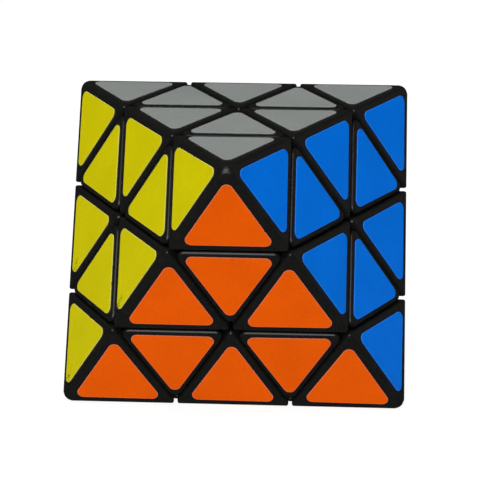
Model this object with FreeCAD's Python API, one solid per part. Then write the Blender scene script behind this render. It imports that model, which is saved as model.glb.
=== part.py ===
"""Face-turning octahedron puzzle.

Eight triangular faces each turn about their own normal.  Every face shows nine triangular
facets: three belong to corners, three to edges and three to single-facet triangles.
The cut planes lie a third of the way from the centre to each face, so every outer piece is
a unit octahedron (corners, edges) or a unit tetrahedron (triangles) with a foot inside.

Inside, four concentric shells hold the puzzle together, from the outside inwards:
  neck shell      thin stems of corners and triangles pass between wide edges
  foot shell      feet of corners and triangles, held down by what is wide above them
  plate shell     three-lobed centre plates, with the slim stems of edges between them
  edge foot shell feet of edges, held down by the centre plates
A ball core carries eight bosses.  On each boss a centre turns on a sprung screw.

Units are millimetres.  The puzzle stands on its bottom face, centred on the origin, +Z up.
"""

import FreeCAD
import Part

import functools
import itertools
import math
import os

from FreeCAD import Matrix, Placement, Rotation, Vector

# ---- driving dimensions -------------------------------------------------------------------
EDGE = 96.0              # edge of the octahedron before its corners are rounded
SEAM_GAP = 0.5           # gap between two outer pieces
SEAM_ROUND = 0.8         # rounding of a piece along its seams
SIDE_ROUND = 2.0         # rounding of a triangle's three edges that run inwards
RIDGE_ROUND = 1.2        # rounding of the octahedron's own edges
CORNER_CUT = 1.6         # how far the octahedron's corners are blunted
CORNER_BALL = 2.4        # radius of the ball that the flats of a blunted corner touch
INNER_GAP = 0.3          # gap between two pieces in the mechanism

NECK_TOP = 33.0          # outer radius of the neck shell
FOOT_TOP = 29.3          # outer radius of the foot shell
PLATE_TOP = 25.3         # outer radius of the plate shell
EDGE_FOOT_TOP = 21.3     # outer radius of the edge foot shell
CORE_SHELL = 17.1        # inner radius of the edge foot shell

NECK_ANGLE = 62.0        # half-angle of each face's turning cone in the neck shell
FOOT_ANGLE = 69.0        # the same in the foot shell
PLATE_ANGLE = 46.0       # the same in the plate shell
EDGE_FOOT_ANGLE = 54.0   # the same in the edge foot shell

CORE_RADIUS = 16.8       # ball of the core
BOSS_RADIUS = 4.6        # boss and centre neck
BOSS_TOP = 17.2          # height of a boss's flat above the middle of the core
CENTRE_BASE = 17.4       # underside of a centre
ACCESS_RADIUS = 2.2      # open shaft above each screw

SHANK_RADIUS = 1.4       # screw
SHANK_HOLE_RADIUS = 1.5  # hole in the core
SHANK_BORE_RADIUS = 1.6  # hole in the centre
SHANK_END = 9.5
SHANK_HOLE_END = 9.0
POINT_LENGTH = 2.8
POINT_RADIUS = 0.4
HEAD_RADIUS = 3.0
HEAD_TOP = 24.7
HEAD_THICKNESS = 2.0
HEAD_ROUND = 1.0
CROSS_WIDTH = 0.7        # cross recess in the head
CROSS_LENGTH = 3.4
CROSS_DEPTH = 1.1
WASHER_RADIUS = 3.1
WASHER_THICKNESS = 0.5
COUNTERBORE_RADIUS = 3.4
COUNTERBORE_FLOOR = 19.4
SPRING_RADIUS = 2.45     # of the coil's centreline
WIRE_RADIUS = 0.25
SPRING_TURNS = 3
SPRING_GAP = 0.1         # between a spring and the centre that turns under it

# ---- derived sizes ------------------------------------------------------------------------
HALF_HEIGHT = EDGE / math.sqrt(6)       # centre to face
CORNER_RADIUS = EDGE / math.sqrt(2)     # centre to corner, before it is blunted
CUT = HALF_HEIGHT / 3                   # centre to cut plane
HALF_SEAM = SEAM_GAP / 2
HALF_INNER = INNER_GAP / 2
RAISED = 2 * SIDE_ROUND                 # puts a triangle's rolled top clear above its face
LINK_OVERLAP = 0.5                      # how far a link reaches into the shells it joins
OVERRUN = 1.0                           # how far a cutter runs past what it cuts
CONE_LENGTH = 40.0                      # past every shell
FAR_AWAY = -0.5                         # cosine past which a face can't reach a piece
OFFSET_TOLERANCE = 1e-4
SMALL = 1e-6
OUT = "parts"

# ---- faces and corners of the octahedron --------------------------------------------------


def tilted(azimuth_deg):
    """The outward normal of a lower side face, a third of the way below the horizontal."""
    turn = math.radians(azimuth_deg)
    flat = 2 * math.sqrt(2) / 3
    return Vector(flat * math.cos(turn), flat * math.sin(turn), -1 / 3)


UPPER_SET = {
    "top": Vector(0, 0, 1),
    "front": tilted(-90),
    "back_right": tilted(30),
    "back_left": tilted(150),
}
OPPOSITE = {
    "bottom": "top",
    "back": "front",
    "front_left": "back_right",
    "front_right": "back_left",
}
NORMALS = dict(UPPER_SET)
NORMALS.update({name: UPPER_SET[other] * -1 for name, other in OPPOSITE.items()})

# Each corner of the octahedron lies half-way between two faces of one set of four.
CORNERS = {
    "front_top": ("top", "front"),
    "right_top": ("top", "back_right"),
    "left_top": ("top", "back_left"),
    "back_bottom": ("bottom", "back"),
    "left_bottom": ("bottom", "front_left"),
    "right_bottom": ("bottom", "front_right"),
}


def corner_direction(corner):
    one, other = CORNERS[corner]
    return (NORMALS[one] + NORMALS[other]).normalize()


def faces_at(corner):
    """The four faces that meet at a corner."""
    way = corner_direction(corner)
    return [name for name, normal in NORMALS.items() if normal.dot(way) > 0]


def touch(one, other):
    """True if two faces share an edge."""
    return abs(NORMALS[one].dot(NORMALS[other]) - 1 / 3) < SMALL


def same_set(one, other):
    """True if two faces meet at one corner of the octahedron only."""
    return abs(NORMALS[one].dot(NORMALS[other]) + 1 / 3) < SMALL


# ---- shapes -------------------------------------------------------------------------------


def crossing(planes):
    """The point where three planes (normal, distance) meet, or None."""
    rows = [(n.x, n.y, n.z, 0) for n, _ in planes]
    matrix = Matrix(*rows[0], *rows[1], *rows[2], 0, 0, 0, 1)
    if abs(matrix.determinant()) < SMALL:
        return None
    return matrix.inverse().multVec(Vector(*[d for _, d in planes]))


def polyhedron(planes):
    """The convex solid on the inner side of every plane (outward normal, distance)."""
    points = []
    for three in itertools.combinations(planes, 3):
        point = crossing(three)
        if point is None or any(point.dot(n) > d + SMALL for n, d in planes):
            continue
        if all(point.distanceToPoint(other) > SMALL for other in points):
            points.append(point)
    faces = []
    for normal, distance in planes:
        ring = [p for p in points if abs(p.dot(normal) - distance) < SMALL]
        if len(ring) < 3:
            continue
        middle = sum(ring, Vector()) * (1 / len(ring))
        across = (ring[0] - middle).normalize()
        along = normal.cross(across)
        ring.sort(key=lambda p: math.atan2((p - middle).dot(along), (p - middle).dot(across)))
        faces.append(Part.Face(Part.makePolygon(ring + ring[:1])))
    return Part.makeSolid(Part.makeShell(faces))


def rounded(planes, radius):
    """The same solid with every edge and corner rounded."""
    shrunk = polyhedron([(normal, distance - radius) for normal, distance in planes])
    return shrunk.makeOffsetShape(radius, OFFSET_TOLERANCE, fill=False, join=0)


def cut_planes(plus):
    """The cut planes around the piece that lies beyond the cuts of the faces in plus."""
    for name, normal in NORMALS.items():
        if name in plus:
            yield normal * -1, -CUT - HALF_SEAM
        else:
            yield normal, CUT - HALF_SEAM


def face_planes():
    return [(normal, HALF_HEIGHT) for normal in NORMALS.values()]


@functools.lru_cache
def rounded_octahedron():
    """The octahedron with rounded edges, its corners blunted to domes of small flats."""
    planes = face_planes()
    for name in CORNERS:
        way = corner_direction(name)
        ball = way * (CORNER_RADIUS - CORNER_CUT - CORNER_BALL)
        around = [NORMALS[face] for face in faces_at(name)]
        around += [(NORMALS[one] + NORMALS[other]).normalize()
                   for one, other in itertools.combinations(faces_at(name), 2)
                   if touch(one, other)]
        flats = [way] + [(way + side).normalize() for side in around]
        planes += [(flat, flat.dot(ball) + CORNER_BALL) for flat in flats]
    return rounded(planes, RIDGE_ROUND)


def ridge_block(plus):
    """The outer block of a corner or an edge."""
    block = rounded(face_planes() + list(cut_planes(plus)), SEAM_ROUND)
    return block.common(rounded_octahedron())


def facet_block(plus, face):
    """The outer block of a triangle, whose one facet lies on a face."""
    raised = (NORMALS[face], HALF_HEIGHT + RAISED)
    block = rounded([raised] + list(cut_planes(plus)), SIDE_ROUND)
    below = Part.makeBox(EDGE, EDGE, EDGE, Vector(-EDGE / 2, -EDGE / 2, HALF_HEIGHT - EDGE))
    below.Placement = Placement(Vector(), frame_on(NORMALS[face], corner_direction("front_top")))
    block = block.common(below)
    rim = [edge for edge in block.Edges
           if abs(edge.CenterOfMass.dot(NORMALS[face]) - HALF_HEIGHT) < SMALL]
    return block.makeFillet(SEAM_ROUND, rim)


def turning_cone(face, angle_deg, clearance):
    """The cone that a face sweeps in one shell, grown or shrunk sideways by the clearance."""
    angle = math.radians(angle_deg)
    normal = NORMALS[face]
    apex = normal * (-clearance / math.sin(angle))
    return Part.makeCone(0, CONE_LENGTH * math.tan(angle), CONE_LENGTH, apex, normal)


def shell_piece(plus, inner, outer, plus_angle, other_angle):
    """The part of a spherical shell inside the cones of plus and outside all the others."""
    middle = sum([NORMALS[name] for name in plus], Vector()).normalize()
    shape = Part.makeSphere(outer).cut(Part.makeSphere(inner))
    for name in plus:
        shape = shape.common(turning_cone(name, plus_angle, -HALF_INNER))
    for name, normal in NORMALS.items():
        if name not in plus and normal.dot(middle) > FAR_AWAY:
            shape = shape.cut(turning_cone(name, other_angle, HALF_INNER))
    return shape


def within_shell(plus, inner, outer, angle):
    return shell_piece(plus, inner + HALF_INNER, outer - HALF_INNER, angle, angle)


def link(plus, radius, one_angle, other_angle):
    """The stem that joins a piece's two stretches on either side of a shell's surface."""
    reach = HALF_INNER + LINK_OVERLAP
    low, high = sorted((one_angle, other_angle))
    return shell_piece(plus, radius - reach, radius + reach, low, high)


def cut_angle(radius):
    """The half-angle at which a flat cut plane meets a sphere of this radius."""
    return math.degrees(math.acos(CUT / radius))


def along_axis(face, radius, low, high):
    """A cylinder about a face's axis, between two heights above the middle of the puzzle."""
    normal = NORMALS[face]
    return Part.makeCylinder(radius, high - low, normal * low, normal)


def one_solid(shape):
    """The single solid of a fused shape, its split faces joined again."""
    shape = shape.removeSplitter()
    if len(shape.Solids) != 1 or not shape.isValid():
        raise ValueError(f"{len(shape.Solids)} solids, valid: {shape.isValid()}")
    return shape.Solids[0]


def neck_and_foot(plus):
    """What holds an outer block in, with the screw shafts left open."""
    top_angle = cut_angle(NECK_TOP + HALF_INNER + LINK_OVERLAP)
    inside = within_shell(plus, FOOT_TOP, NECK_TOP, NECK_ANGLE)
    inside = inside.fuse(link(plus, NECK_TOP, NECK_ANGLE, top_angle))
    inside = inside.fuse(within_shell(plus, PLATE_TOP, FOOT_TOP, FOOT_ANGLE))
    inside = inside.fuse(link(plus, FOOT_TOP, NECK_ANGLE, FOOT_ANGLE))
    for face in plus:
        inside = inside.cut(along_axis(face, ACCESS_RADIUS, 0, NECK_TOP + OVERRUN))
    return inside


def held(block, plus):
    """An outer block, hollowed to clear the neck shell, on its neck and foot."""
    block = block.cut(Part.makeSphere(NECK_TOP + HALF_INNER))
    return block.fuse(neck_and_foot(plus))


def make_corner(corner):
    plus = faces_at(corner)
    return one_solid(held(ridge_block(plus), plus))


def make_triangle(face, corner):
    """The single-facet piece on a face, next to one of its corners."""
    plus = [face] + [other for other in faces_at(corner) if touch(face, other)]
    return one_solid(held(facet_block(plus, face), plus))


def make_edge(face, other):
    plus = [face, other]
    stem = within_shell(plus, EDGE_FOOT_TOP, PLATE_TOP, PLATE_ANGLE)
    stem = stem.fuse(link(plus, PLATE_TOP, PLATE_ANGLE, FOOT_ANGLE))
    stem = stem.fuse(link(plus, EDGE_FOOT_TOP, PLATE_ANGLE, EDGE_FOOT_ANGLE))
    foot = within_shell(plus, CORE_SHELL, EDGE_FOOT_TOP, EDGE_FOOT_ANGLE)
    return one_solid(held(ridge_block(plus), plus).fuse(stem).fuse(foot))


def make_centre(face):
    """A three-lobed plate on a neck, with a sprung screw's bore down its middle."""
    plate = within_shell([face], EDGE_FOOT_TOP, PLATE_TOP, PLATE_ANGLE)
    neck = along_axis(face, BOSS_RADIUS, CENTRE_BASE, EDGE_FOOT_TOP + LINK_OVERLAP)
    bore = along_axis(face, SHANK_BORE_RADIUS, 0, PLATE_TOP)
    counterbore = along_axis(face, COUNTERBORE_RADIUS, COUNTERBORE_FLOOR, PLATE_TOP + OVERRUN)
    return one_solid(plate.fuse(neck).cut(bore).cut(counterbore))


def make_core():
    core = Part.makeSphere(CORE_RADIUS)
    for face in NORMALS:
        core = core.fuse(along_axis(face, BOSS_RADIUS, 0, BOSS_TOP))
    for face in NORMALS:
        core = core.cut(along_axis(face, SHANK_HOLE_RADIUS, SHANK_HOLE_END, BOSS_TOP + OVERRUN))
    return one_solid(core)


def make_screw():
    """A pan-head screw along +Z, with a cross recess in its head and a pointed end."""
    up = Vector(0, 0, 1)
    under_head = HEAD_TOP - HEAD_THICKNESS
    head = Part.makeCylinder(HEAD_RADIUS, HEAD_THICKNESS, Vector(0, 0, under_head), up)
    rim = [edge for edge in head.Edges if edge.CenterOfMass.z > HEAD_TOP - SMALL]
    head = head.makeFillet(HEAD_ROUND, rim)
    for turn in (0, 90):
        corner = Vector(-CROSS_LENGTH / 2, -CROSS_WIDTH / 2, HEAD_TOP - CROSS_DEPTH)
        slot = Part.makeBox(CROSS_LENGTH, CROSS_WIDTH, CROSS_DEPTH, corner)
        slot.rotate(Vector(), up, turn)
        head = head.cut(slot)
    full = SHANK_END + POINT_LENGTH
    shank = Part.makeCylinder(SHANK_RADIUS, under_head - full, Vector(0, 0, full), up)
    end = Vector(0, 0, SHANK_END)
    point = Part.makeCone(POINT_RADIUS, SHANK_RADIUS, POINT_LENGTH, end, up)
    return one_solid(head.fuse(shank).fuse(point))


def make_washer():
    top = HEAD_TOP - HEAD_THICKNESS
    underside = Vector(0, 0, top - WASHER_THICKNESS)
    ring = Part.makeCylinder(WASHER_RADIUS, WASHER_THICKNESS, underside)
    return ring.cut(Part.makeCylinder(SHANK_BORE_RADIUS, WASHER_THICKNESS, underside))


def make_spring():
    """A coil spring along +Z between the counterbore's floor and the washer."""
    low = COUNTERBORE_FLOOR + SPRING_GAP + WIRE_RADIUS
    high = HEAD_TOP - HEAD_THICKNESS - WASHER_THICKNESS - WIRE_RADIUS
    pitch = (high - low) / SPRING_TURNS
    path = []
    for quarter in range(4 * SPRING_TURNS):
        stretch = Part.makeHelix(pitch, pitch / 4, SPRING_RADIUS)
        stretch.rotate(Vector(), Vector(0, 0, 1), 90 * quarter)
        stretch.translate(Vector(0, 0, low + pitch / 4 * quarter))
        path += stretch.Edges
    start = Vector(SPRING_RADIUS, 0, low)
    slope = Vector(0, 2 * math.pi * SPRING_RADIUS, pitch)
    section = Part.Wire(Part.makeCircle(WIRE_RADIUS, start, slope))
    return Part.Wire(path).makePipeShell([section], True, True)


# ---- copies -------------------------------------------------------------------------------


def frame_on(normal, toward):
    """The turn that carries +Z to a normal and +X towards a direction."""
    return Rotation(toward - normal * toward.dot(normal), Vector(), normal, "ZXY")


def carried(shape, home, place):
    """A copy of a shape, moved from one frame about the middle of the puzzle to another."""
    copy = shape.copy()
    copy.Placement = Placement(Vector(), place.multiply(home.inverted())).multiply(copy.Placement)
    return copy


def all_faces(shape):
    """A shape built along +Z, repeated on every face's axis."""
    home = frame_on(Vector(0, 0, 1), Vector(1, 0, 0))
    sideways = corner_direction("right_top")    # along no face's normal
    places = [frame_on(normal, sideways) for normal in NORMALS.values()]
    return Part.makeCompound([carried(shape, home, place) for place in places])


def nodes():
    """Every named piece, about the middle of the puzzle."""
    yield "core", make_core()
    yield "tension_screws", all_faces(make_screw())
    yield "screw_washers", all_faces(make_washer())
    yield "tension_springs", all_faces(make_spring())

    centre = make_centre("top")
    centre_home = frame_on(NORMALS["top"], NORMALS["front"])
    for face in NORMALS:
        mate = next(other for other in NORMALS if same_set(face, other))
        place = frame_on(NORMALS[face], NORMALS[mate])
        yield f"centre_{face}", carried(centre, centre_home, place)

    corner = make_corner("front_top")
    corner_home = frame_on(corner_direction("front_top"), NORMALS["top"])
    for name in CORNERS:
        beside = NORMALS[faces_at(name)[0]]
        place = frame_on(corner_direction(name), beside)
        yield f"corner_{name}", carried(corner, corner_home, place)

    edge = make_edge("top", "front_left")
    edge_home = frame_on(NORMALS["top"], NORMALS["front_left"])
    for upper, lower in itertools.product(UPPER_SET, OPPOSITE):
        if touch(upper, lower):
            place = frame_on(NORMALS[upper], NORMALS[lower])
            yield f"edge_{upper}_to_{lower}", carried(edge, edge_home, place)

    triangle = make_triangle("top", "front_top")
    triangle_home = frame_on(NORMALS["top"], corner_direction("front_top"))
    for corner_name in CORNERS:
        way = corner_direction(corner_name)
        for face in faces_at(corner_name):
            place = frame_on(NORMALS[face], way)
            yield f"triangle_{face}_by_{corner_name}", carried(triangle, triangle_home, place)


def main():
    os.makedirs(OUT, exist_ok=True)
    for name, shape in nodes():
        shape.translate(Vector(0, 0, HALF_HEIGHT))
        shape.exportStep(os.path.join(OUT, name + ".step"))
        print(f"{name}: {len(shape.Solids)} solid, {shape.Volume:.0f} mm3, valid {shape.isValid()}")


main()
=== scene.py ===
"""Looks of a face-turning octahedron puzzle: black moulded plastic, steel hardware, vinyl stickers.

The CAD nodes are every moving piece, and only get materials here.  Each of their 72 facets
gets a sticker, a thin vinyl sheet with rounded corners, that rides on the piece under it.
"""

import math
import random

import bpy
from mathutils import Matrix, Vector


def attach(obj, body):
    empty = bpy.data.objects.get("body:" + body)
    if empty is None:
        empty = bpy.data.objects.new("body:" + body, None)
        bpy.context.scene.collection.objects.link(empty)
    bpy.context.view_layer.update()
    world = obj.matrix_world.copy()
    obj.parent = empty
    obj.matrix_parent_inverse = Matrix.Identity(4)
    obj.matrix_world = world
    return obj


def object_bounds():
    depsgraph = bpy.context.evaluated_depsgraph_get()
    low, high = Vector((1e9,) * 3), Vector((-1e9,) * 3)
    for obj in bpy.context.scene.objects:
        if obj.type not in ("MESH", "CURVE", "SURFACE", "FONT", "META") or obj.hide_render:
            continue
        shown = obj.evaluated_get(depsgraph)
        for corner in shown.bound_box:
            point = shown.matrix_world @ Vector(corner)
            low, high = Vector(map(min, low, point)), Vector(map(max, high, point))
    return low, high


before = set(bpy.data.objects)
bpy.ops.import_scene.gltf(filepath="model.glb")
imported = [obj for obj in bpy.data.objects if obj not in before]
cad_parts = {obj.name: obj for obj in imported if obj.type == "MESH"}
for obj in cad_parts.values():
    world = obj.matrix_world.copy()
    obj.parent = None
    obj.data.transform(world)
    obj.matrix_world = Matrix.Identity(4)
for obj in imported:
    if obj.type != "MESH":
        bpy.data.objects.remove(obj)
cad_low, cad_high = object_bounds()

MM = 0.001

# ---- the puzzle's sizes, worked out from the frame -------------------------------------------
HALF_HEIGHT = (cad_high.z - cad_low.z) / 2      # centre to face
EDGE = HALF_HEIGHT * math.sqrt(6)               # edge of the octahedron
FACET = EDGE / 3                                # edge of one facet
CUT = HALF_HEIGHT / 3                           # centre to cut plane
CENTRE = Vector((0, 0, cad_low.z + HALF_HEIGHT))

# ---- the stickers' sizes ---------------------------------------------------------------------
MARGIN = 2.0 * MM            # from a facet's side to its sticker
CORNER_ROUND = 1.7 * MM
THICKNESS = 0.2 * MM
ROLLED = 0.07 * MM           # how far the top edge rolls over
SINK = 0.01 * MM             # how far the glue side sits in the plastic
OUTLINE_STEP = 0.35 * MM
SHARP_FROM = math.radians(50)

# ---- how they were put on and what has happened to them since --------------------------------
HAND_SEED = 8
SHIFT = 0.14 * MM            # how far off the middle of its facet a sticker may be
TWIST = math.radians(0.7)
NICK_SHARE = 0.22            # share of the stickers with a nick in their edge
NICK_DEPTH = 0.32 * MM
NICK_WIDTH = 0.3 * MM
# on these faces fingernails have caught the stickers' tips that point to one corner
CREASED = {"front_left": "left_bottom", "back": "back_bottom", "bottom": "right_bottom"}
CREASED_WITHIN = 1.6 * FACET     # of the corner: its own sticker and the two of the edges there
CREASE_REACH = 2.6 * MM          # how far from its tip a sticker may be creased

# ---- colours, as linear values ---------------------------------------------------------------
# each sticker colour, with how pale its cut edges are
STICKER_COLOURS = {
    "top": ("grey", (0.203, 0.217, 0.208), 0.30),
    "front": ("orange", (0.65, 0.081, 0.0), 0.45),
    "front_left": ("yellow", (0.505, 0.45, 0.0), 0.50),
    "front_right": ("blue", (0.0, 0.145, 0.665), 0.08),
    "bottom": ("white", (0.80, 0.80, 0.78), 0.20),
    "back": ("red", (0.52, 0.008, 0.012), 0.25),
    "back_left": ("green", (0.005, 0.28, 0.05), 0.20),
    "back_right": ("purple", (0.16, 0.025, 0.34), 0.20),
}
BLACK = (0.0064, 0.0064, 0.0059)
BLACK_DUSTY = (0.0090, 0.0090, 0.0083)
SCUFFED = (0.035, 0.035, 0.034)
CORE_BLACK = (0.012, 0.012, 0.012)
CORE_FLOW_MARK = (0.022, 0.022, 0.022)
# each kind of hardware: its material's name, bright colour, worn colour and roughness
STEELS = {
    "tension_screws": ("plated_steel", (0.62, 0.61, 0.59), (0.50, 0.49, 0.47), 0.28),
    "screw_washers": ("washer_steel", (0.58, 0.58, 0.57), (0.47, 0.47, 0.46), 0.34),
    "tension_springs": ("spring_steel", (0.46, 0.46, 0.47), (0.34, 0.34, 0.35), 0.24),
}
FLOOR_DARK = (0.14, 0.14, 0.14)
FLOOR_LIGHT = (0.15, 0.15, 0.15)
WHITE = (1.0, 1.0, 1.0, 1.0)

# ---- gloss -----------------------------------------------------------------------------------
PLASTIC_SPECULAR = 0.5
VINYL_SPECULAR = 0.02
FLOOR_ROUGHNESS = 0.8
NOISE_LOW, NOISE_HIGH = 0.3, 0.7     # most noise values lie between these

# ---- camera: degrees, then metres, then millimetres ------------------------------------------
AZIMUTH = 3.24
ELEVATION = 19.48
ROLL = 0.05
DISTANCE = 0.548
FOCAL_LENGTH = 143.7
SENSOR = 36.0
SHIFT_X = 0.0033             # a share of the sensor: the puzzle stands a little left of the middle

# ---- studio: metres and watts ----------------------------------------------------------------
# each softbox: its place, width, height and power, and whether surfaces mirror it
SOFTBOXES = {
    "overhead": ((-0.06, -0.10, 0.90), 0.50, 0.50, 7.25, False),
    "front_fill": ((-0.15, -1.12, 0.60), 1.20, 1.10, 12.3, True),
    "right_card": ((1.66, 0.69, 0.30), 1.00, 0.70, 0.16, True),
}
WORLD_STRENGTH = 0.02
FLOOR_RADIUS = 3.0
FLOOR_GLOW = 0.92            # a lit sweep, so that shadows on it stay faint
FLOOR_CLOUD = 0.3
BACKDROP_SIDES = 48
BACKDROP_HEIGHT = 3.0


# ---- the octahedron's faces and corners ------------------------------------------------------


def tilted(azimuth_deg):
    """The outward normal of a side face that leans out towards its top."""
    turn = math.radians(azimuth_deg)
    flat = 2 * math.sqrt(2) / 3
    return Vector((flat * math.cos(turn), flat * math.sin(turn), -1 / 3))


UPPER_SET = {
    "top": Vector((0, 0, 1)),
    "front": tilted(-90),
    "back_right": tilted(30),
    "back_left": tilted(150),
}
OPPOSITE = {
    "bottom": "top",
    "back": "front",
    "front_left": "back_right",
    "front_right": "back_left",
}
NORMALS = dict(UPPER_SET)
NORMALS.update({name: -UPPER_SET[other] for name, other in OPPOSITE.items()})

# each corner lies midway between the normals of these two faces
CORNERS = {
    "front_top": ("top", "front"),
    "right_top": ("top", "back_right"),
    "left_top": ("top", "back_left"),
    "back_bottom": ("bottom", "back"),
    "left_bottom": ("bottom", "front_left"),
    "right_bottom": ("bottom", "front_right"),
}


def corner_point(corner):
    """A corner of the octahedron before its corners are blunted."""
    one, other = CORNERS[corner]
    way = (NORMALS[one] + NORMALS[other]).normalized()
    return CENTRE + way * EDGE / math.sqrt(2)


def corners_of(face):
    return [name for name in CORNERS
            if (corner_point(name) - CENTRE).dot(NORMALS[face]) > 0]


def face_across(face, one, other):
    """The face that shares the side between two corners with this one."""
    return next(name for name in NORMALS
                if name != face and one in corners_of(name) and other in corners_of(name))


def edge_node(face, neighbour):
    upper, lower = (face, neighbour) if face in UPPER_SET else (neighbour, face)
    return f"edge_{upper}_to_{lower}"


def facets(face):
    """Each facet of a face: the CAD node under it, its middle and a point that a tip aims at."""
    points = {name: corner_point(name) for name in corners_of(face)}
    middle = sum(points.values(), Vector()) / 3
    for name, point in points.items():
        one, other = [n for n in points if n != name]
        outward = point - middle
        # a corner's facet points the way of its corner, two thirds of the way out
        yield f"corner_{name}", middle + outward * 2 / 3, point
        # the edge's facet beside the middle of the opposite side points the same way
        yield edge_node(face, face_across(face, one, other)), middle - outward / 3, middle
        # the triangle's facet points back to the middle
        yield f"triangle_{face}_by_{name}", middle + outward / 3, middle


# ---- stickers --------------------------------------------------------------------------------


def triangle_outline(inradius, rounding):
    """Evenly spaced points round an equilateral triangle with rounded corners."""
    arc_middle = 2 * (inradius - rounding)
    arc_steps = max(6, round(rounding * math.radians(120) / OUTLINE_STEP))
    points = []
    for side in range(3):
        turn = math.radians(90 + 120 * side)
        middle = Vector((math.cos(turn), math.sin(turn))) * arc_middle
        for step in range(arc_steps + 1):
            angle = turn + math.radians(-60 + 120 * step / arc_steps)
            points.append(middle + Vector((math.cos(angle), math.sin(angle))) * rounding)
        ahead = math.radians(90 + 120 * (side + 1))
        next_middle = Vector((math.cos(ahead), math.sin(ahead))) * arc_middle
        start = Vector(points[-1])
        run = next_middle - middle
        steps = round(run.length / OUTLINE_STEP)
        points += [start + run * step / steps for step in range(1, steps)]
    return points


def nicked(points, rng):
    """The outline with a small bite at one random place."""
    bitten = rng.randrange(len(points))
    place = points[bitten]
    return [p - p.normalized() * NICK_DEPTH * math.exp(-((p - place).length / NICK_WIDTH) ** 2)
            for p in points]


def inset(points, distance):
    """The outline moved inwards, each point square to the line between its neighbours."""
    moved = []
    for i, point in enumerate(points):
        along = (points[(i + 1) % len(points)] - points[i - 1]).normalized()
        moved.append(point + Vector((-along.y, along.x)) * distance)
    return moved


def add_values(mesh, name, values):
    """Give the mesh one number a vertex, for its material to read."""
    mesh.attributes.new(name, "FLOAT", "POINT").data.foreach_set("value", values)


def sticker_mesh(name, rng):
    """A vinyl sheet: glue side, cut edge, rolled rim and face, with a rim value for colour."""
    outline = triangle_outline(FACET / (2 * math.sqrt(3)) - MARGIN, CORNER_ROUND)
    if rng.random() < NICK_SHARE:
        outline = nicked(outline, rng)
    wall = THICKNESS - SINK
    # from the glue side up and inwards: points, height and rim value
    rings = [
        (outline, -SINK, 1.0),
        (outline, wall - ROLLED, 1.0),
        (inset(outline, ROLLED * 0.3), wall - ROLLED * 0.3, 1.0),
        (inset(outline, ROLLED), wall, 0.6),
        (inset(outline, ROLLED * 3), wall, 0.0),
        (inset(outline, CORNER_ROUND * 0.6), wall, 0.0),
    ]
    count = len(outline)
    vertices = [(p.x, p.y, height) for ring, height, _ in rings for p in ring]
    rim = [value for _, _, value in rings for _ in range(count)]
    faces = []
    for ring in range(len(rings) - 1):
        low = ring * count
        high = low + count
        for i in range(count):
            after = (i + 1) % count
            faces.append((low + i, low + after, high + after, high + i))
    last = (len(rings) - 1) * count
    middle_top = len(vertices)
    vertices.append((0, 0, wall))
    rim.append(0.0)
    faces += [(last + i, last + (i + 1) % count, middle_top) for i in range(count)]
    faces.append(tuple(reversed(range(count))))

    mesh = bpy.data.meshes.new(name)
    mesh.from_pydata(vertices, [], faces)
    add_values(mesh, "rim", rim)
    mesh.shade_smooth()
    mesh.set_sharp_from_angle(angle=SHARP_FROM)
    return mesh


def sticker_place(normal, middle, point, rng):
    """Where a sticker goes: +Z on the face's normal, +Y towards the point its tip aims at."""
    toward = (point - middle).normalized()
    side = toward.cross(normal)
    facing = Matrix((side, toward, normal)).transposed().to_4x4()
    shift = Vector((rng.uniform(-SHIFT, SHIFT), rng.uniform(-SHIFT, SHIFT), 0))
    twist = Matrix.Rotation(rng.uniform(-TWIST, TWIST), 4, "Z")
    return Matrix.Translation(middle) @ facing @ Matrix.Translation(shift) @ twist


def crease(mesh, corner):
    """Give the mesh a crease value: 1 at its tip nearest the corner, 0 from CREASE_REACH on."""
    tip = min((vertex.co for vertex in mesh.vertices), key=lambda co: (co - corner).length).copy()
    add_values(mesh, "crease", [max(0.0, 1.0 - (vertex.co - tip).length / CREASE_REACH)
                                for vertex in mesh.vertices])


def add_stickers(face, material, rng):
    corner = corner_point(CREASED[face]) if face in CREASED else None
    for node, middle, point in facets(face):
        name = f"sticker_{face}_on_{node}"
        sticker = bpy.data.objects.new(name, sticker_mesh(name, rng))
        bpy.context.scene.collection.objects.link(sticker)
        sticker.data.transform(sticker_place(NORMALS[face], middle, point, rng))
        sticker.data.materials.append(material)
        if (corner and not node.startswith("triangle_")
                and (middle - corner).length < CREASED_WITHIN):
            crease(sticker.data, corner)
        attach(sticker, node)


# ---- materials -------------------------------------------------------------------------------


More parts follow.
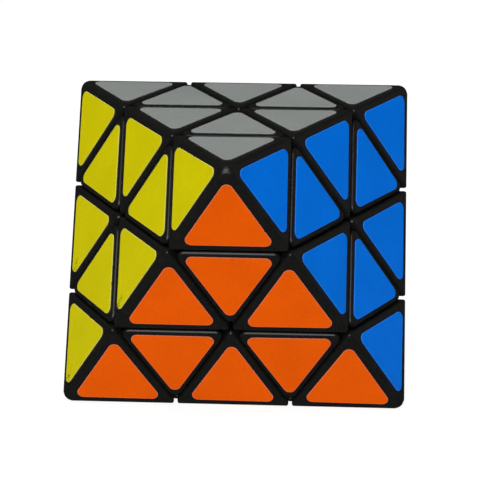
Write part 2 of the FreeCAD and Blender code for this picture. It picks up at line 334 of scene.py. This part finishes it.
class Tree:
    """A material's nodes, with short calls for the few kinds used here."""

    def __init__(self, name):
        self.material = bpy.data.materials.new(name)
        self.material.use_nodes = True
        self.nodes = self.material.node_tree.nodes
        self.links = self.material.node_tree.links
        self.shader = self.nodes["Principled BSDF"]
        self.place = self.add("ShaderNodeTexCoord").outputs["Object"]

    def add(self, kind, inputs=None, **settings):
        node = self.nodes.new(kind)
        for key, value in settings.items():
            setattr(node, key, value)
        for key, value in (inputs or {}).items():
            self.set(node.inputs[key], value)
        return node

    def set(self, socket, value):
        if isinstance(value, bpy.types.NodeSocket):
            self.links.new(value, socket)
        else:
            socket.default_value = value

    def surface(self, values):
        """Give the shader's sockets these values, and hand over the finished material."""
        for name, value in values.items():
            self.set(self.shader.inputs[name], value)
        return self.material

    def maths(self, operation, *values, clamp=False):
        node = self.add("ShaderNodeMath", operation=operation, use_clamp=clamp)
        for socket, value in zip(node.inputs, values):
            self.set(socket, value)
        return node.outputs[0]

    def noise(self, size, detail=2.0, roughness=0.5):
        """Noise whose features are about size across."""
        node = self.add("ShaderNodeTexNoise", {
            "Vector": self.place, "Scale": 1 / size, "Detail": detail, "Roughness": roughness})
        return node.outputs["Fac"]

    def attribute(self, name):
        """The number that the mesh has under this name, or 0 where it has none."""
        return self.add("ShaderNodeAttribute", attribute_name=name).outputs["Fac"]

    def ramp(self, value, start, end, low=0.0, high=1.0):
        """Low where the value is at start, high where it is at end, straight between them."""
        node = self.add("ShaderNodeMapRange", {
            "Value": value, "From Min": start, "From Max": end, "To Min": low, "To Max": high})
        return node.outputs["Result"]

    def spread(self, noise, low, high):
        """Noise stretched to go all the way from low to high."""
        return self.ramp(noise, NOISE_LOW, NOISE_HIGH, low, high)

    def mix(self, share, one, other):
        # a colour mix has its share at input 0, its colours at 6 and 7, and its result at output 2
        node = self.add("ShaderNodeMix", data_type="RGBA")
        self.set(node.inputs[0], share)
        for socket, colour in ((node.inputs[6], one), (node.inputs[7], other)):
            if not isinstance(colour, bpy.types.NodeSocket):
                colour = (*colour, 1.0)
            self.set(socket, colour)
        return node.outputs[2]

    def bump(self, height, strength, distance, onto=None):
        inputs = {"Height": height, "Strength": strength, "Distance": distance}
        if onto is not None:
            inputs["Normal"] = onto
        return self.add("ShaderNodeBump", inputs).outputs["Normal"]


def tone(colour, factor, lift=0.0):
    """A darker, brighter or paler tone of a colour."""
    return tuple(min(1.0, channel * factor + lift) for channel in colour)


def face_distances(tree):
    """How far a point is from the middle along each of the four pairs of face normals."""
    from_centre = tree.add("ShaderNodeVectorMath", {0: tree.place, 1: CENTRE},
                           operation="SUBTRACT")
    distances = []
    for normal in UPPER_SET.values():
        along = tree.add("ShaderNodeVectorMath", {0: from_centre.outputs["Vector"], 1: normal},
                         operation="DOT_PRODUCT")
        distances.append(tree.maths("ABSOLUTE", along.outputs["Value"]))
    return distances


def exposed_edges(tree, width):
    """1 on the outer pieces' rounded edges, where hands rub, falling to 0 a width away."""
    on_faces = 0.0
    near_cut = 0.0
    for distance in face_distances(tree):
        on_face = tree.ramp(distance, HALF_HEIGHT - width, HALF_HEIGHT - width * 0.25)
        on_faces = tree.maths("ADD", on_faces, on_face)
        off_cut = tree.maths("ABSOLUTE", tree.maths("SUBTRACT", distance, CUT))
        near_cut = tree.maths("MAXIMUM", near_cut, tree.ramp(off_cut, width, width * 0.3))
    ridge = tree.maths("SUBTRACT", on_faces, 1.0, clamp=True)
    seam = tree.maths("MULTIPLY", near_cut, tree.maths("MINIMUM", on_faces, 1.0))
    return tree.maths("MAXIMUM", ridge, seam)


def black_plastic():
    """Semi-gloss moulded plastic: fine grain, handling marks, and scuffs along the edges."""
    tree = Tree("black_plastic")
    smudge = tree.noise(14 * MM, detail=4.0, roughness=0.6)
    dust = tree.ramp(tree.noise(2.2 * MM, detail=5.0, roughness=0.7), 0.45, 0.75)
    edges = exposed_edges(tree, width=1.1 * MM)
    broken = tree.ramp(tree.noise(0.9 * MM, detail=3.0, roughness=0.65), 0.52, 0.72)
    scuffs = tree.maths("MULTIPLY", tree.maths("MULTIPLY", edges, broken), 0.12)

    colour = tree.mix(dust, BLACK, BLACK_DUSTY)
    colour = tree.mix(scuffs, colour, SCUFFED)

    rough = tree.spread(smudge, 0.24, 0.33)
    rough = tree.maths("ADD", rough, tree.maths("MULTIPLY", dust, 0.06))
    rough = tree.maths("ADD", rough, tree.maths("MULTIPLY", scuffs, 0.15))

    grain = tree.bump(tree.noise(0.16 * MM), strength=0.12, distance=0.02 * MM)
    waves = tree.bump(tree.noise(5 * MM, detail=1.0), strength=0.25, distance=0.08 * MM,
                      onto=grain)
    return tree.surface({"Base Color": colour, "Roughness": rough, "Normal": waves,
                         "Specular IOR Level": PLASTIC_SPECULAR})


def core_plastic():
    """The core's plainer satin plastic, with flow marks from moulding."""
    tree = Tree("core_plastic")
    flow = tree.noise(6 * MM, detail=3.0, roughness=0.6)
    grain = tree.bump(tree.noise(0.2 * MM), strength=0.2, distance=0.02 * MM)
    return tree.surface({"Base Color": tree.mix(flow, CORE_BLACK, CORE_FLOW_MARK),
                         "Roughness": tree.spread(flow, 0.42, 0.52), "Normal": grain})


def steel(name, bright, worn, roughness):
    """Plated steel with fine wear."""
    tree = Tree(name)
    wear = tree.noise(0.8 * MM, detail=4.0, roughness=0.6)
    grain = tree.bump(tree.noise(0.12 * MM), strength=0.15, distance=0.01 * MM)
    return tree.surface({"Base Color": tree.mix(wear, bright, worn),
                         "Roughness": tree.spread(wear, roughness - 0.06, roughness + 0.1),
                         "Normal": grain, "Metallic": 1.0})


def specks(tree, spacing, radius, share):
    """1 inside small round marks: one mark a cell, in some of the cells."""
    cells = tree.add("ShaderNodeTexVoronoi", {"Vector": tree.place, "Scale": 1 / spacing})
    size = radius / spacing
    inside = tree.ramp(cells.outputs["Distance"], size, size * 0.6)
    draw = tree.add("ShaderNodeSeparateColor", {"Color": cells.outputs["Color"]}).outputs["Red"]
    return tree.maths("MULTIPLY", inside, tree.maths("LESS_THAN", draw, share))


def crease_marks(tree):
    """Thin wandering lines, where noise crosses its middle, in the creased tips."""
    off_middle = tree.maths("SUBTRACT", tree.noise(1.3 * MM, detail=1.0), 0.5)
    line = tree.ramp(tree.maths("ABSOLUTE", off_middle), 0.055, 0.025)
    near_tip = tree.ramp(tree.attribute("crease"), 0.32, 0.50)
    return tree.maths("MULTIPLY", near_tip, line)


def vinyl(name, colour, edge_paleness):
    """Printed vinyl: mottled colour with a few specks, a satin face and a paler cut edge."""
    tree = Tree(name)
    mottle = tree.noise(0.8 * MM, detail=4.0, roughness=0.7)
    cloud = tree.noise(11 * MM)
    shade = tree.maths("ADD", tree.spread(mottle, 0.0, 0.6), tree.spread(cloud, 0.0, 0.4))
    dirt = specks(tree, spacing=5 * MM, radius=0.22 * MM, share=0.2)

    face = tree.mix(shade, tone(colour, 0.88), tone(colour, 1.07))
    face = tree.mix(dirt, face, tone(colour, 0.45))
    face = tree.mix(crease_marks(tree), face, tone(colour, 0.15))
    cut = tree.maths("MULTIPLY", tree.attribute("rim"), edge_paleness)
    colours = tree.mix(cut, face, tone(colour, 0.6, lift=0.22))

    peel = tree.bump(tree.noise(0.7 * MM, detail=1.0), strength=0.10, distance=0.02 * MM)
    waves = tree.bump(tree.noise(7 * MM, detail=1.0), strength=0.22, distance=0.10 * MM,
                      onto=peel)
    return tree.surface({"Base Color": colours, "Roughness": tree.spread(cloud, 0.33, 0.42),
                         "Normal": waves, "Specular IOR Level": VINYL_SPECULAR})


def paint_cad_nodes():
    """Steel for the hardware, its own plastic for the core, black for all the others."""
    black = black_plastic()
    special = {"core": core_plastic()}
    special.update({node: steel(*finish) for node, finish in STEELS.items()})
    for name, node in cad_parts.items():
        node.data.materials.clear()
        node.data.materials.append(special.get(name, black))


# ---- camera, light and floor -----------------------------------------------------------------


def add_camera():
    azimuth, elevation = math.radians(AZIMUTH), math.radians(ELEVATION)
    back = Vector((math.sin(azimuth) * math.cos(elevation),
                   -math.cos(azimuth) * math.cos(elevation),
                   math.sin(elevation)))
    data = bpy.data.cameras.new("camera")
    data.sensor_width = SENSOR
    data.lens = FOCAL_LENGTH
    data.shift_x = SHIFT_X
    camera = bpy.data.objects.new("camera", data)
    bpy.context.scene.collection.objects.link(camera)
    place = Matrix.Translation(CENTRE + back * DISTANCE)
    aim = (-back).to_track_quat("-Z", "Y").to_matrix().to_4x4()
    camera.matrix_world = place @ aim @ Matrix.Rotation(math.radians(ROLL), 4, "Z")
    bpy.context.scene.camera = camera


def add_softbox(name, place, width, height, power, mirrored):
    """A rectangular light that faces the puzzle."""
    data = bpy.data.lights.new(name, "AREA")
    data.shape = "RECTANGLE"
    data.size = width
    data.size_y = height
    data.energy = power
    light = bpy.data.objects.new(name, data)
    bpy.context.scene.collection.objects.link(light)
    light.location = place
    light.rotation_euler = (CENTRE - Vector(place)).to_track_quat("-Z", "Y").to_euler()
    light.visible_glossy = mirrored


def add_lights():
    world = bpy.data.worlds.new("studio")
    world.use_nodes = True
    background = world.node_tree.nodes["Background"]
    background.inputs["Color"].default_value = WHITE
    background.inputs["Strength"].default_value = WORLD_STRENGTH
    bpy.context.scene.world = world
    for name, settings in SOFTBOXES.items():
        add_softbox(name, *settings)
    bpy.context.scene.view_settings.view_transform = "Standard"


def add_stage(name, vertices, faces, material):
    mesh = bpy.data.meshes.new(name)
    mesh.from_pydata(vertices, [], faces)
    mesh.materials.append(material)
    stage = bpy.data.objects.new(name, mesh)
    bpy.context.scene.collection.objects.link(stage)
    return stage


def add_floor():
    """A round floor under the lowest sticker, with a wall round it."""
    tree = Tree("pale_floor")
    pale = tree.surface({"Base Color": tree.mix(tree.noise(FLOOR_CLOUD), FLOOR_DARK, FLOOR_LIGHT),
                         "Emission Color": WHITE, "Emission Strength": FLOOR_GLOW,
                         "Roughness": FLOOR_ROUGHNESS})
    level = cad_low.z - THICKNESS
    ring = []
    sides = []
    for i in range(BACKDROP_SIDES):
        turn = math.tau * i / BACKDROP_SIDES
        outward = Vector((math.cos(turn), math.sin(turn), 0))
        ring.append(outward * FLOOR_RADIUS + Vector((0, 0, level)))
        after = (i + 1) % BACKDROP_SIDES
        sides.append((i, after, after + BACKDROP_SIDES, i + BACKDROP_SIDES))
    floor = add_stage("floor", ring, [tuple(range(BACKDROP_SIDES))], pale)
    floor.visible_glossy = False
    # the wall shows behind the puzzle in low views and neither lights nor shades it
    raised = [point + Vector((0, 0, BACKDROP_HEIGHT)) for point in ring]
    wall = add_stage("backdrop", ring + raised, sides, pale)
    wall.visible_glossy = wall.visible_diffuse = wall.visible_shadow = False


# ---- the whole scene -------------------------------------------------------------------------

add_camera()
add_lights()
add_floor()
paint_cad_nodes()
hand = random.Random(HAND_SEED)
for face_name, (colour_name, colour_value, paleness) in STICKER_COLOURS.items():
    sticker_vinyl = vinyl(f"vinyl_{colour_name}", colour_value, paleness)
    add_stickers(face_name, sticker_vinyl, hand)
